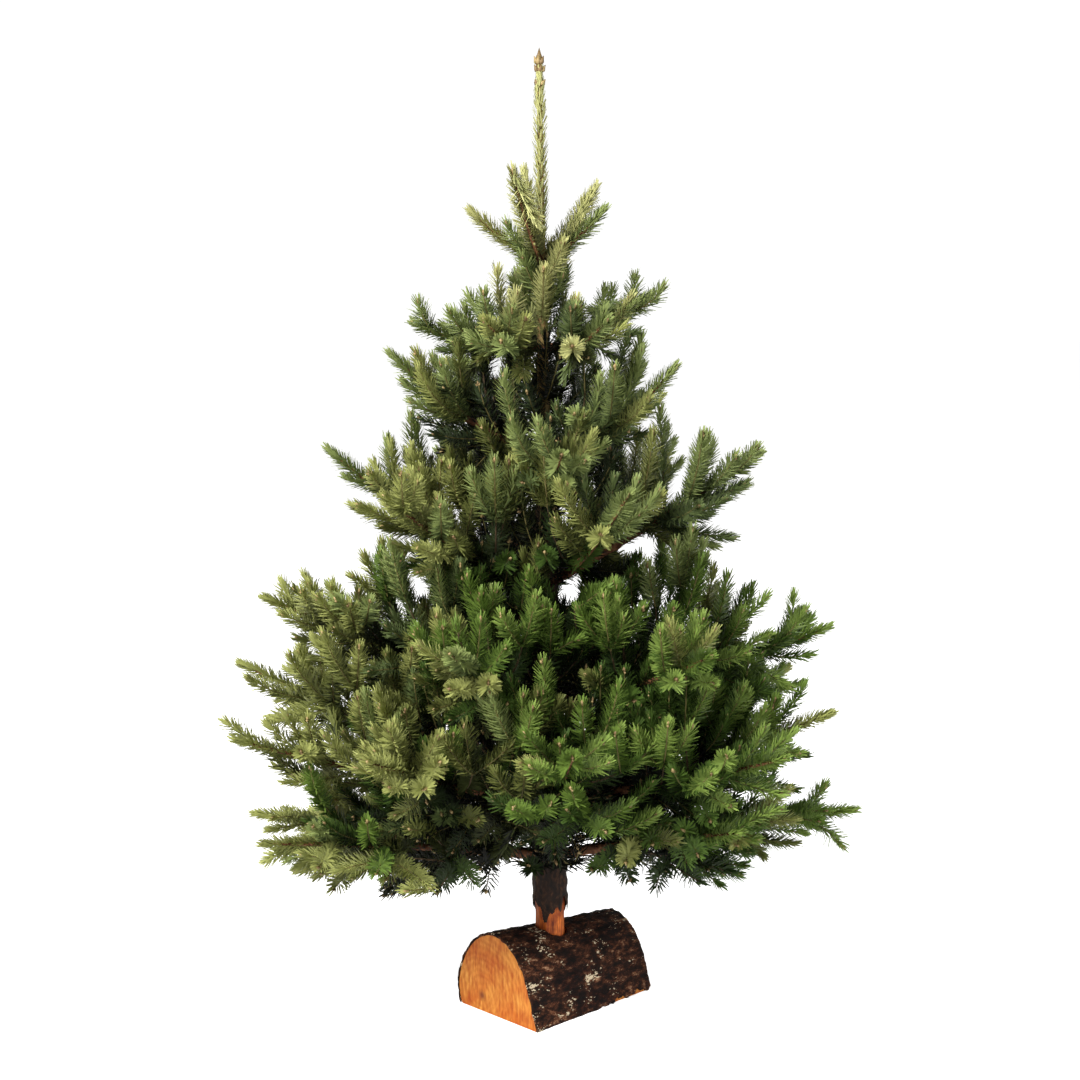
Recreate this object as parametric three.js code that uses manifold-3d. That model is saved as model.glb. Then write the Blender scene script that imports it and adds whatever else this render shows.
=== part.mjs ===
// A cut fir, sold as a Christmas tree, standing in a stand made from a sawn log.
// Millimetres, +Z up. The origin lies on the log's flat underside, on the floor, straight
// under the socket that holds the trunk. The tree's front faces -Y, and the log lies turned.
// Needs the npm packages three and manifold-3d.
import * as THREE from 'three';
import { mergeVertices } from 'three/addons/utils/BufferGeometryUtils.js';
import Module from 'manifold-3d';

const wasm = await Module();
wasm.setup();

// ---- Driving dimensions ----

const TREE_TOP = 1400; // tip of the leader's bud cluster above the floor
const TREE_LEAN = -17; // sideways drift of the stem from the log to the top
const GAP = 0.4; // clearance between neighbouring solids

// The socket stands offset from the log's middle, towards its front end. The log's sides lean
// over by lean up to leanHeight, and taper is how much thicker its front end is than its back.
const LOG = {
  length: 248, width: 162, height: 118, roundness: 2, lean: 9, leanHeight: 30, taper: 0.16,
  turn: 43, offset: 19,
};
const SOCKET = { radius: 24.1, floor: 45, clearance: 0.5 }; // the hole drilled down into the log

// The stem's radius at heights above the floor: whittled foot, bark, internodes, leader, buds.
const STEM = [
  [0, 23.5], [130, 23.5], [160, 25], [308, 23.5], [460, 20], [624, 16], [786, 11.5],
  [953, 8.2], [1088, 6.6], [1110, 5.2], [1362, 3.4], [1374, 6.5], [1386, 8], [TREE_TOP, 3],
];

// Each whorl sits at one height on the stem. Its boughs are [azimuth, reach, rise]: degrees
// from +X seen from above, then how far out and how far up the tip lies from the whorl.
// bare is the share of a bough that has no foliage, which a bough's own fourth value replaces:
// it stays a bare limb, of radius limb at the stem. sag lowers a bough's middle, depth is the
// half thickness of its foliage, and fill how much of the angle to its neighbours that takes.
const WHORLS = [
  { name: 'top', height: 1088, bare: 0.03, limb: 0, sag: 0, depth: 18, fill: 0, boughs: [
    [180, 100, 82], [112, 72, 150], [246, 98, 138], [44, 108, 116], [330, 98, 84]] },
  { name: 'upper', height: 948, bare: 0.03, limb: 0, sag: 4, depth: 56, fill: 0.56, boughs: [
    [177, 184, 64], [18, 160, 100], [108, 152, 104], [238, 150, 84], [306, 148, 80]] },
  { name: 'shoulder', height: 786, bare: 0.03, limb: 0, sag: 6, depth: 78, fill: 0.66, boughs: [
    [192, 222, 196], [275, 252, 66], [338, 196, 178], [52, 232, 176], [124, 240, 176]] },
  { name: 'middle', height: 624, bare: 0.03, limb: 6.5, sag: 8, depth: 96, fill: 0.9, boughs: [
    [177, 316, 204], [226, 312, 168], [291, 300, 178], [353, 306, 212, 0.4], [50, 306, 190],
    [114, 312, 186]] },
  { name: 'waist', height: 460, bare: 0.22, limb: 7.5, sag: 16, depth: 98, fill: 0.88, boughs: [
    [183, 408, 156], [250, 372, 142], [306, 366, 128], [6, 416, 100], [94, 388, 150]] },
  { name: 'skirt', height: 308, bare: 0.22, limb: 8, sag: 22, depth: 88, fill: 0.96, boughs: [
    [162, 496, 174], [204, 474, 140], [236, 424, 150], [274, 418, 172], [318, 422, 136],
    [346, 412, 154], [32, 440, 150], [100, 430, 150]] },
  { name: 'lowest', height: 216, bare: 0.24, limb: 7, sag: -14, depth: 56, fill: 0.74, boughs: [
    [357, 446, 84], [318, 350, 106], [203, 436, 76], [166, 462, 40], [84, 430, 46]] },
];

const LEAST_LIMB = 0.1; // a bough barer than this share shows a limb of its own
const LIMB_TAPER = 0.72; // a limb's radius where the foliage starts, as a share of its root
const TIP_RADIUS = 17; // half width of the single shoot that ends each bough
const FINGER = 0.13; // how far the side shoots stand in and out of the foliage's outline
const UNDERSIDE = 0.95; // depth of the foliage below its bough, as a share of that above
const SIDE_DROOP = 0.12; // how far a mass's flanks hang below its middle, as a share of width

const SIDES = { stem: 9, limb: 5, mass: 8, socket: 20 };
const STEPS = { limb: 2, spindle: 3, mass: 5, bark: 16 };

const COLOURS = { log: 0x4a2c1e, stem: 0x5c3a26, limb: 0x6d4a33, foliage: 0x5d7040 };

// ---- Helpers ----

const radians = THREE.MathUtils.degToRad;
const up = new THREE.Vector3(0, 0, 1);

// Moves every vertex of a primitive with place(vertex), and merges its seam and caps.
function shaped(primitive, place) {
  primitive.deleteAttribute('normal');
  primitive.deleteAttribute('uv');
  const vertex = new THREE.Vector3();
  const positions = primitive.getAttribute('position');
  for (let i = 0; i < positions.count; i++) {
    place(vertex.fromBufferAttribute(positions, i));
    positions.setXYZ(i, vertex.x, vertex.y, vertex.z);
  }
  return mergeVertices(primitive, 1e-3);
}

function solidOf(geometry) {
  const vertProperties = geometry.getAttribute('position').array;
  const triVerts = new Uint32Array(geometry.index.array);
  return new wasm.Manifold(new wasm.Mesh({ numProp: 3, vertProperties, triVerts }));
}

function geometryOf(solid) {
  const { numProp, numVert, vertProperties, triVerts } = solid.getMesh();
  const positions = new Float32Array(numVert * 3);
  for (let i = 0; i < numVert; i++) {
    positions.set(vertProperties.subarray(i * numProp, i * numProp + 3), i * 3);
  }
  const geometry = new THREE.BufferGeometry();
  geometry.setAttribute('position', new THREE.BufferAttribute(positions, 3));
  geometry.setIndex(new THREE.BufferAttribute(triVerts, 1));
  return geometry;
}

// Cutting a mass round its neighbours can leave crumbs: only its largest piece is kept.
function largestPiece(solid) {
  return solid.decompose().reduce((best, piece) => (piece.volume() > best.volume() ? piece : best));
}

// Straight lines between the rows of a table of [position, value].
function interpolate(table, at) {
  const next = table.findIndex(([position]) => position >= at);
  if (next <= 0) return table[Math.max(next, 0)][1];
  const [x0, y0] = table[next - 1];
  const [x1, y1] = table[next];
  return y0 + ((y1 - y0) * (at - x0)) / (x1 - x0);
}

// A tapering tube of rings along a path: a cylinder primitive whose height is mapped to the
// path. ring(share, angle) gives the offset of the surface from the path at that share.
function tubeAlong(sides, steps, placeRing) {
  const cylinder = new THREE.CylinderGeometry(1, 1, 1, sides, steps);
  return shaped(cylinder, (v) => {
    const share = v.y + 0.5;
    const radius = Math.hypot(v.x, v.z);
    const angle = Math.atan2(v.x, v.z);
    v.copy(placeRing(share, angle, radius));
  });
}

// ---- The stem ----

// Upright in its socket, and leaning from the top of the log upwards.
function stemAxis(z) {
  const above = Math.max(z - LOG.height, 0) / (TREE_TOP - LOG.height);
  return new THREE.Vector3(TREE_LEAN * above, 0, z);
}

function stemGeometry(grow) {
  const heights = STEM.map(([z]) => z).filter((z) => z > SOCKET.floor);
  const rows = [SOCKET.floor + SOCKET.clearance, 95, ...heights];
  return tubeAlong(SIDES.stem, rows.length - 1, (share, angle, radius) => {
    const z = rows[Math.round(share * (rows.length - 1))];
    const reach = radius * (interpolate(STEM, z) + grow);
    const middle = stemAxis(z);
    return new THREE.Vector3(middle.x + reach * Math.sin(angle), middle.y - reach * Math.cos(angle), z);
  });
}

// ---- The log ----

// The log's outline halfway along: a half ellipse where roundness is 2, on its flat sawn side.
function logOutline() {
  const power = 2 / LOG.roundness;
  const points = [];
  for (let step = 0; step <= STEPS.bark; step += 1) {
    const angle = (Math.PI * step) / STEPS.bark;
    const z = LOG.height * Math.max(Math.sin(angle), 0) ** power;
    const halfWidth = (LOG.width / 2) * Math.abs(Math.cos(angle)) ** power;
    const lean = LOG.lean * Math.min(z / LOG.leanHeight, 1);
    points.push(new THREE.Vector2(Math.sign(Math.cos(angle)) * halfWidth - lean, z));
  }
  return new THREE.Shape(points);
}

function logSolid() {
  const extrusion = new THREE.ExtrudeGeometry(logOutline(), {
    depth: LOG.length, steps: 1, curveSegments: STEPS.bark, bevelEnabled: false,
  });
  const log = shaped(extrusion, (vertex) => {
    const size = 1 + LOG.taper * (vertex.z / LOG.length - 0.5);
    vertex.set(vertex.x * size, vertex.y * size, vertex.z);
  });
  log.translate(0, 0, -LOG.length / 2 - LOG.offset);
  log.rotateX(Math.PI / 2); // the outline stands up, and the extrusion runs along Y
  log.rotateZ(radians(LOG.turn - 90));
  const drill = new THREE.CylinderGeometry(SOCKET.radius, SOCKET.radius, LOG.height, SIDES.socket);
  drill.rotateX(Math.PI / 2);
  drill.translate(0, 0, SOCKET.floor + LOG.height / 2);
  return solidOf(log).subtract(solidOf(shaped(drill, () => {})));
}

// ---- Boughs ----

function boughPath(whorl, [azimuth, reach, rise]) {
  const root = stemAxis(whorl.height);
  const out = new THREE.Vector3(Math.cos(radians(azimuth)), Math.sin(radians(azimuth)), 0);
  const tip = root.clone().addScaledVector(out, reach).addScaledVector(up, rise);
  const middle = root.clone().lerp(tip, 0.5).addScaledVector(up, -2 * whorl.sag);
  return new THREE.QuadraticBezierCurve3(root, middle, tip);
}

// The axes across a bough at a share of its length: level sideways, and up from it.
function across(path, share) {
  const along = path.getTangent(share);
  const side = new THREE.Vector3().crossVectors(along, up).normalize();
  return { along, side, over: new THREE.Vector3().crossVectors(side, along) };
}

// A bare limb from the stem to where its foliage starts.
function limbGeometry({ whorl, path, bare }, grow) {
  const end = bare - GAP / path.getLength();
  return tubeAlong(SIDES.limb, STEPS.limb, (share, angle, radius) => {
    const at = share * end;
    const reach = radius * (whorl.limb * THREE.MathUtils.lerp(1, LIMB_TAPER, share) + grow);
    const { side, over } = across(path, at);
    return path.getPoint(at)
      .addScaledVector(side, reach * Math.sin(angle))
      .addScaledVector(over, reach * Math.cos(angle));
  });
}

// The foliage of one bough: a flat, fingered pad that widens from the limb and runs out to
// the single shoot at the tip. Each side shoot makes a finger in its outline.
function massGeometry({ whorl, path, bare, halfWidth, seed }, grow) {
  const steps = whorl.fill ? STEPS.mass : STEPS.spindle;
  const fingers = whorl.fill ? FINGER : 0;
  const stretch = grow / path.getLength();
  return tubeAlong(SIDES.mass, steps, (share, angle, radius) => {
    const at = THREE.MathUtils.lerp(bare - stretch, 1, share);
    const swell = Math.sin(Math.PI * (0.22 + 0.76 * share ** 0.9));
    const heap = Math.sin(Math.PI * (0.32 + 0.66 * share ** 1.15));
    const flank = Math.sign(Math.sin(angle)) || 1;
    const beat = Math.round(share * steps) + (flank > 0 ? 0 : 1);
    const finger = 1 + fingers * (beat % 2 ? 1 : -1) * Math.abs(Math.sin(angle));
    const lumps = 1 + 0.07 * Math.sin(3 * angle + 9 * share + seed) + 0.05 * Math.sin(5 * angle - 2 * seed);
    const tip = TIP_RADIUS * (1 - 0.35 * share ** 4);
    const wide = (tip + Math.max(halfWidth - tip, 0) * swell * finger) * lumps + grow;
    const deep = (tip + Math.max(whorl.depth - tip, 0) * heap) * lumps + grow;
    const { along, side, over } = across(path, Math.min(at, 1));
    const level = Math.cos(angle);
    const x = radius * wide * Math.sin(angle);
    const droop = (SIDE_DROOP * fingers * x * x) / Math.max(FINGER * halfWidth, 1);
    return path.getPoint(Math.min(at, 1))
      .addScaledVector(along, share > 0.999 ? grow : 0)
      .addScaledVector(side, x)
      .addScaledVector(over, radius * deep * (level < 0 ? UNDERSIDE * level : level) - droop);
  });
}

// Half of a bough's foliage width: its share of the angle to its nearer and further neighbour.
function halfWidthOf(whorl, bough) {
  const [azimuth, reach] = bough;
  const gaps = whorl.boughs
    .filter((other) => other !== bough)
    .map(([other]) => Math.abs(THREE.MathUtils.euclideanModulo(other - azimuth + 180, 360) - 180))
    .sort((a, b) => a - b);
  const between = (gaps[0] + gaps[1]) / 2;
  return Math.min(whorl.fill * 0.62 * reach * Math.tan(radians(between / 2)), 0.42 * reach);
}

// ---- Putting the tree together ----

const tree = new THREE.Group();
const cutters = []; // solids a little larger than those already in place, with their boxes

const boxOf = (solid) => {
  const { min, max } = solid.boundingBox();
  return new THREE.Box3(new THREE.Vector3(...min), new THREE.Vector3(...max));
};

function cutRound(solid) {
  const box = boxOf(solid);
  return cutters
    .filter((cutter) => cutter.box.intersectsBox(box))
    .reduce((rest, cutter) => rest.subtract(cutter.solid), solid);
}

function place(name, solid, color, roughness, cutter) {
  const material = new THREE.MeshStandardMaterial({ color, roughness, metalness: 0 });
  const mesh = new THREE.Mesh(geometryOf(solid), material);
  mesh.name = name;
  tree.add(mesh);
  if (cutter) cutters.push({ solid: cutter, box: boxOf(cutter) });
}

place('log_stand', logSolid(), COLOURS.log, 0.9, null);
place('trunk', solidOf(stemGeometry(0)), COLOURS.stem, 0.85, solidOf(stemGeometry(GAP)));

const boughs = WHORLS.flatMap((whorl) => whorl.boughs.map((bough, index) => ({
  whorl,
  label: `${whorl.name}_${index + 1}`,
  path: boughPath(whorl, bough),
  bare: bough[3] ?? whorl.bare,
  halfWidth: whorl.fill ? halfWidthOf(whorl, bough) : whorl.depth,
  seed: bough[0],
})));

for (const bough of boughs.filter(({ bare }) => bare > LEAST_LIMB)) {
  const limb = (grow) => solidOf(limbGeometry(bough, grow));
  place(`limb_${bough.label}`, largestPiece(cutRound(limb(0))), COLOURS.limb, 0.85, limb(GAP));
}

for (const bough of boughs) {
  const mass = (grow) => solidOf(massGeometry(bough, grow));
  place(`foliage_${bough.label}`, largestPiece(cutRound(mass(0))), COLOURS.foliage, 0.8, mass(GAP));
}

export default tree;
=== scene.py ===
# %% [markdown]
# # A cut fir on its half log
# A young fir, cut for Christmas and not yet decorated, stands in a hole drilled in a half log.
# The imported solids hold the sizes: a stem, bare limbs, and a closed mass of foliage for each
# bough. This lesson grows boughs, twigs and needles inside those masses, and adds the bark.

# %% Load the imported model
import math

import bpy
import numpy as np
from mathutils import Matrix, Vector
from mathutils.bvhtree import BVHTree


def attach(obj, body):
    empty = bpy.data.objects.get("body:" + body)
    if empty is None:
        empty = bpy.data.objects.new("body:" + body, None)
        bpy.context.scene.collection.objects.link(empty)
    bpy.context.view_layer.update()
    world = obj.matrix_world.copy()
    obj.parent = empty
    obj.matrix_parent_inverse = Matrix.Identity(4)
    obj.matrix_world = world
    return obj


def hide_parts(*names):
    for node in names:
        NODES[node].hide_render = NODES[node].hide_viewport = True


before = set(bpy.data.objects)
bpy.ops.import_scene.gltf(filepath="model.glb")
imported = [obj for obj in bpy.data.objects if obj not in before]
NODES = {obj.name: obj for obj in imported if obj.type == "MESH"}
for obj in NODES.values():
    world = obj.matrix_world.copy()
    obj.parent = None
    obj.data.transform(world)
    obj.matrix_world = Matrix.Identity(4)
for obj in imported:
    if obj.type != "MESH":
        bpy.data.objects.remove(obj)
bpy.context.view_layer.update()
bpy.ops.object.select_all(action="DESELECT")

# %% [markdown]
# ## Camera and studio
# The tree is seen from its front, from near its top, through a long lens. One broad lamp
# stands high on the left, a weaker one fills from the right, another stands behind, and a pale
# world lights the rest, as in a white studio.

# %% Camera
CAMERA_PLACE = (-0.0155, -3.2, 1.2)
CAMERA_PITCH = math.radians(8.9)
CAMERA_LENS = 74.3

bpy.ops.object.camera_add(location=CAMERA_PLACE, rotation=(math.pi / 2 - CAMERA_PITCH, 0, 0))
camera = bpy.context.object
camera.data.lens = CAMERA_LENS
bpy.context.scene.camera = camera

# %% Lamps, world and floor
SUBJECT = Vector((0, 0, 0.6))
WORLD_STRENGTH = (0.4, 0.65)  # what lights the tree, and how much more the camera sees
FLOOR_GLOW = (0.0, 0.66)


def plain_material(name, colour, roughness, specular=0.5):
    material = bpy.data.materials.new(name)
    material.use_nodes = True
    shader = material.node_tree.nodes["Principled BSDF"]
    shader.inputs["Base Color"].default_value = (*colour, 1)
    shader.inputs["Roughness"].default_value = roughness
    shader.inputs["Specular IOR Level"].default_value = specular
    return material


def add_lamp(name, place, size, watts, colour=(1, 1, 1)):
    """A square soft box at a place, turned towards the middle of the tree."""
    bpy.ops.object.light_add(type="AREA", location=place)
    lamp = bpy.context.object
    lamp.name = name
    lamp.rotation_euler = (SUBJECT - Vector(place)).to_track_quat("-Z", "Y").to_euler()
    lamp.data.size = size
    lamp.data.energy = watts
    lamp.data.color = colour


def seen_brighter(tree, socket, plain, extra):
    """Sets a strength to its plain value, plus an extra for what the camera sees directly."""
    path = tree.nodes.new("ShaderNodeLightPath")
    sum_node = tree.nodes.new("ShaderNodeMath")
    sum_node.operation = "MULTIPLY_ADD"
    sum_node.inputs[1].default_value = extra
    sum_node.inputs[2].default_value = plain
    tree.links.new(path.outputs["Is Camera Ray"], sum_node.inputs[0])
    tree.links.new(sum_node.outputs[0], socket)


add_lamp("key", (-1.9, -2.5, 2.9), 1.2, 250, (1.0, 0.985, 0.95))
add_lamp("fill", (2.6, -2.2, 1.3), 1.8, 40)
add_lamp("back", (0.6, 2.4, 2.6), 1.6, 60)

world = bpy.data.worlds.new("studio")
world.use_nodes = True
backdrop = world.node_tree.nodes["Background"]
backdrop.inputs["Color"].default_value = (1, 1, 1, 1)
seen_brighter(world.node_tree, backdrop.inputs["Strength"], *WORLD_STRENGTH)
bpy.context.scene.world = world
bpy.context.scene.view_settings.view_transform = "Standard"

bpy.ops.mesh.primitive_plane_add(size=30)
floor = bpy.context.object
floor.name = "floor"
pale = plain_material("pale_floor", (0.85, 0.85, 0.85), 0.9)
pale_shader = pale.node_tree.nodes["Principled BSDF"]
pale_shader.inputs["Emission Color"].default_value = (1, 1, 1, 1)
seen_brighter(pale.node_tree, pale_shader.inputs["Emission Strength"], *FLOOR_GLOW)
floor.data.materials.append(pale)

# %% [markdown]
# ## Small tools
# An operator acts on all that is selected, so one helper selects a single object. Modifiers
# are applied at once, so that a finished piece is a plain mesh.

# %% Helpers for operators and modifiers
def select_only(obj):
    bpy.ops.object.select_all(action="DESELECT")
    bpy.context.view_layer.objects.active = obj
    obj.select_set(True)


def apply_modifier(obj, kind, **settings):
    select_only(obj)
    modifier = obj.modifiers.new(kind.title(), kind)
    for name, value in settings.items():
        setattr(modifier, name, value)
    bpy.ops.object.modifier_apply(modifier=modifier.name)


def relief_texture(name, kind, size, **settings):
    """A texture for the Displace modifier, with detail of a size in metres."""
    texture = bpy.data.textures.new(name, kind)
    texture.noise_scale = size
    for key, value in settings.items():
        setattr(texture, key, value)
    return texture


def displace(obj, texture, strength, level=0.5, group=""):
    apply_modifier(obj, "DISPLACE", texture=texture, strength=strength, mid_level=level,
                   vertex_group=group)


def edit_all(obj, operator, **settings):
    """Runs an operator on the whole of an object in edit mode."""
    select_only(obj)
    bpy.ops.object.mode_set(mode="EDIT")
    bpy.ops.mesh.select_all(action="SELECT")
    operator(**settings)
    bpy.ops.object.mode_set(mode="OBJECT")


def edit_chosen(obj, kind, wanted, operator, **settings):
    """Runs an operator on the edges or faces that pass a test."""
    select_only(obj)
    bpy.ops.object.mode_set(mode="EDIT")
    bpy.ops.mesh.select_mode(type=kind)
    bpy.ops.mesh.select_all(action="DESELECT")
    bpy.ops.object.mode_set(mode="OBJECT")
    for element in obj.data.edges if kind == "EDGE" else obj.data.polygons:
        element.select = bool(wanted(element))
    bpy.ops.object.mode_set(mode="EDIT")
    operator(**settings)
    bpy.ops.object.mode_set(mode="OBJECT")


def cut_long_edges(obj, *cuts):
    """Cuts the edges that run along Z, so that a cylinder gets rings. Each pass cuts again."""
    def runs_up(edge):
        a, b = (obj.data.vertices[i].co for i in edge.vertices)
        return (a - b).z ** 2 > 0.9 * (a - b).length_squared

    for number in cuts:
        edit_chosen(obj, "EDGE", runs_up, bpy.ops.mesh.subdivide, number_cuts=number)


def vertices_of(obj):
    points = np.empty(len(obj.data.vertices) * 3)
    obj.data.vertices.foreach_get("co", points)
    return points.reshape(-1, 3)


def move_vertices(obj, points):
    obj.data.vertices.foreach_set("co", np.ascontiguousarray(points, dtype=np.float32).ravel())
    obj.data.update()


def ease(x, low, high):
    """0 below low, 1 above high, and a smooth step between them."""
    share = np.clip((x - low) / (high - low), 0, 1)
    return share * share * (3 - 2 * share)


# %% [markdown]
# ## Materials for wood and bark
# Bark is dark in its furrows and lighter on its ridges, so one noise drives both the colour
# and the bump. Patterns read Object coordinates in metres, so they keep their real size.

# %% Helpers for materials
def srgb(red, green, blue):
    """A colour on screen, from 0 to 255, as the linear colour that a shader takes."""
    return tuple(
        c / 12.92 if c <= 0.04045 else ((c + 0.055) / 1.055) ** 2.4
        for c in (red / 255, green / 255, blue / 255)
    )


class Pattern:
    """A material whose colour and bump come from patterns in Object coordinates."""

    def __init__(self, name, roughness, specular=0.35):
        self.material = plain_material(name, (0.5, 0.5, 0.5), roughness, specular)
        self.tree = self.material.node_tree
        self.shader = self.tree.nodes["Principled BSDF"]
        self.place = self.tree.nodes.new("ShaderNodeTexCoord").outputs["Object"]

    def add(self, kind, inputs, **settings):
        """A node whose inputs are linked to other nodes' outputs, or set to plain values."""
        node = self.tree.nodes.new(kind)
        for key, value in settings.items():
            setattr(node, key, value)
        for key, value in inputs.items():
            if isinstance(value, bpy.types.NodeSocket):
                self.tree.links.new(value, node.inputs[key])
            else:
                node.inputs[key].default_value = value
        return node

    def mapped(self, scale=(1, 1, 1), turn=0.0, shift=(0, 0, 0)):
        """Object coordinates, shifted and turned about Z onto the piece, then stretched."""
        placed = self.add("ShaderNodeMapping", {"Vector": self.place, "Location": shift,
                                                "Rotation": (0, 0, turn)}, vector_type="TEXTURE")
        return self.add("ShaderNodeVectorMath", {0: placed.outputs[0], 1: scale},
                        operation="MULTIPLY").outputs[0]

    def noise(self, vector, scale, detail=6, rough=0.6, distortion=0.0):
        return self.add("ShaderNodeTexNoise", {
            "Vector": vector, "Scale": scale, "Detail": detail, "Roughness": rough,
            "Distortion": distortion}).outputs[0]

    def rise(self, value, low, high):
        """0 where the value is low, and 1 where it is high."""
        return self.add("ShaderNodeMapRange", {"Value": value, "From Min": low,
                                               "From Max": high}).outputs[0]

    def ramp(self, value, stops):
        """Colours as on screen, at places on the value's range: (place, red, green, blue)."""
        node = self.add("ShaderNodeValToRGB", {"Fac": value})
        while len(node.color_ramp.elements) < len(stops):
            node.color_ramp.elements.new(0.5)
        for element, (place, *colour) in zip(node.color_ramp.elements, stops):
            element.position = place
            element.color = (*srgb(*colour), 1)
        return node.outputs["Color"]

    def mix(self, share, first, second, blend="MIX"):
        second = (*second, 1) if isinstance(second, tuple) else second
        return self.add("ShaderNodeMix", {0: share, 6: first, 7: second}, data_type="RGBA",
                        blend_type=blend).outputs[2]

    def toned(self, colour, noise, stops, share=1.0):
        """The colour, made darker in the blotches of a noise."""
        return self.mix(share, colour, self.ramp(noise, stops), "MULTIPLY")

    def finish(self, colour, height, depth):
        """Plugs in the colour, and a bump of a height and a depth in metres."""
        self.tree.links.new(colour, self.shader.inputs["Base Color"])
        bump = self.add("ShaderNodeBump", {"Height": height, "Distance": depth, "Strength": 0.6})
        self.tree.links.new(bump.outputs["Normal"], self.shader.inputs["Normal"])
        return self.material


# %% [markdown]
# ## Measuring the solids
# The stem's rings give its radius and its lean. A bough's mass gives its tip and its curve,
# and the limbs, or else the inner ends of the masses, give the height of each whorl.

# %% Stem axis and radius
trunk_points = vertices_of(NODES["trunk"])
ring_heights = np.unique(trunk_points[:, 2].round(3))
ring_points = [trunk_points[abs(trunk_points[:, 2] - z) < 0.0006] for z in ring_heights]
ring_middles = np.array([(ring.min(0) + ring.max(0)) / 2 for ring in ring_points])
ring_radii = np.array([
    np.hypot(*(ring - middle)[:, :2].T).max() for ring, middle in zip(ring_points, ring_middles)
])


def stem_axis(z):
    """The middle of the stem at a height."""
    return np.stack([
        np.interp(z, ring_heights, ring_middles[:, 0]),
        np.interp(z, ring_heights, ring_middles[:, 1]),
        np.asarray(z, float),
    ], -1)


def stem_radius(z):
    return np.interp(z, ring_heights, ring_radii)


STEM_FOOT, STEM_TOP = ring_heights[0], ring_heights[-1]
print("stem from", STEM_FOOT, "to", STEM_TOP, "rings", len(ring_heights))

# %% Boughs
WHORLS = ("top", "upper", "shoulder", "middle", "waist", "skirt", "lowest")
YEARS = dict(zip(WHORLS, (1, 2, 2, 3, 4, 4, 4)))
LOWERED = dict(zip(WHORLS, (0, 0.018, 0.026, 0.026, 0.024, 0.016, 0)))  # below the mass's middle
LIMB_RADIUS = 0.0075  # of a bough at the stem
NO_LIMB_BARE, NO_LIMB_RADIUS = 0.06, 0.0065  # of a bough whose foliage reaches the stem


def solids_named(start):
    return sorted(name for name in NODES if name.startswith(start + "_"))


def off_stem(points):
    """How far each point lies from the stem's axis."""
    return np.hypot(*(points - stem_axis(points[:, 2]))[:, :2].T)


def whorl_height(whorl):
    """The mean height of the whorl's limbs or masses where they leave the stem."""
    limbs = solids_named("limb_" + whorl)
    inner = []
    for name in limbs or solids_named("foliage_" + whorl):
        points = vertices_of(NODES[name])
        distance = off_stem(points)
        inner.append(points[distance < distance.min() + 0.015, 2].mean())
    return float(np.mean(inner))


heights = {whorl: whorl_height(whorl) for whorl in WHORLS}


def measure_bough(name, whorl):
    """The bough's curve: it leaves the stem, passes the middle of its mass and ends at its tip."""
    points = vertices_of(NODES[name])
    distance = off_stem(points)
    tip = points[distance > distance.max() - 0.02].mean(0)
    start = stem_axis(heights[whorl])
    sag = 0.6 * (np.unique(points.round(4), axis=0).mean(0) - (start + tip) / 2)[2] - LOWERED[whorl]
    bend = (start + tip) / 2 + np.array([0, 0, sag])
    bare, radius = NO_LIMB_BARE, min(NO_LIMB_RADIUS, 0.6 * float(stem_radius(start[2])))
    limb = name.replace("foliage", "limb")
    if limb in NODES:
        bare = float(off_stem(vertices_of(NODES[limb])).max() / distance.max())
        radius = LIMB_RADIUS
    return {
        "name": name, "whorl": whorl, "start": start, "bend": bend, "end": tip,
        "length": float(np.linalg.norm(bend - start) + np.linalg.norm(tip - bend)),
        "bare": bare, "radius": radius,
    }


boughs = [measure_bough(name, whorl) for whorl in WHORLS for name in solids_named("foliage_" + whorl)]
for whorl in WHORLS:
    lengths = [bough["length"] for bough in boughs if bough["whorl"] == whorl]
    print(f"{whorl}: height {heights[whorl]:.3f}, {len(lengths)} boughs of {np.mean(lengths):.3f}")

# %% [markdown]
# ## The space that the foliage may fill
# Every shoot is tested against the masses: its end lies inside one, or stands out by a few
# centimetres. The nearest point on their surfaces tells how deep it lies, and the face's
# normal tells on which side.

# %% Depth inside the masses
def join_faces(names):
    corners, faces = [], []
    for name in names:
        mesh = NODES[name].data
        offset = len(corners)
        corners += [tuple(v.co) for v in mesh.vertices]
        faces += [[offset + i for i in polygon.vertices] for polygon in mesh.polygons]
    return BVHTree.FromPolygons(corners, faces)


masses = join_faces([bough["name"] for bough in boughs])


def depth_inside(point):
    """How deep a point lies inside the masses, and less than 0 outside them."""
    nearest, normal, _, distance = masses.find_nearest(Vector(point))
    return distance if (Vector(point) - nearest).dot(normal) < 0 else -distance


# %% [markdown]
# ## The branching rule
# A fir adds one shoot to every tip each year, and a few side shoots round the end of the last
# one. The side shoots do the same, a little weaker, so a bough of four years is a flat fan of
# fans. Shoots turn up towards the light, and those of the lowest boughs hang. The draws come
# from one seeded generator, so the same tree grows each time.

# %% One shoot
SEED = 24
STAND_OUT = 0.031  # how far a shoot's end may stand out of the masses at the outline
INNER_FILL = 0.07  # how much further it may stand out low down next to the stem
INNER_REACH = 0.24
CLEAR_FOOT = 0.195  # next to the stem no shoot hangs lower than this, over the log
CLEAR_SLOPE, CLEAR_REACH = 0.3, 0.1  # how fast that falls away from the stem, and how far
UP = np.array([0.0, 0.0, 1.0])
rng = np.random.default_rng(SEED)
shoots = []


def shoot_of(start, bend, end, age, order, bough, spray):
    return {"start": start, "bend": bend, "end": end, "age": age, "order": order,
            "bough": bough, "spray": spray}


def unit(vector):
    return vector / np.maximum(np.linalg.norm(vector, axis=-1, keepdims=True), 1e-9)


def across(heading):
    """Two directions square to a heading: level to its side, and up over it."""
    side = unit(np.cross(heading, UP + np.array([0.02, 0.03, 0.0])))
    return side, np.cross(side, heading)


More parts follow.
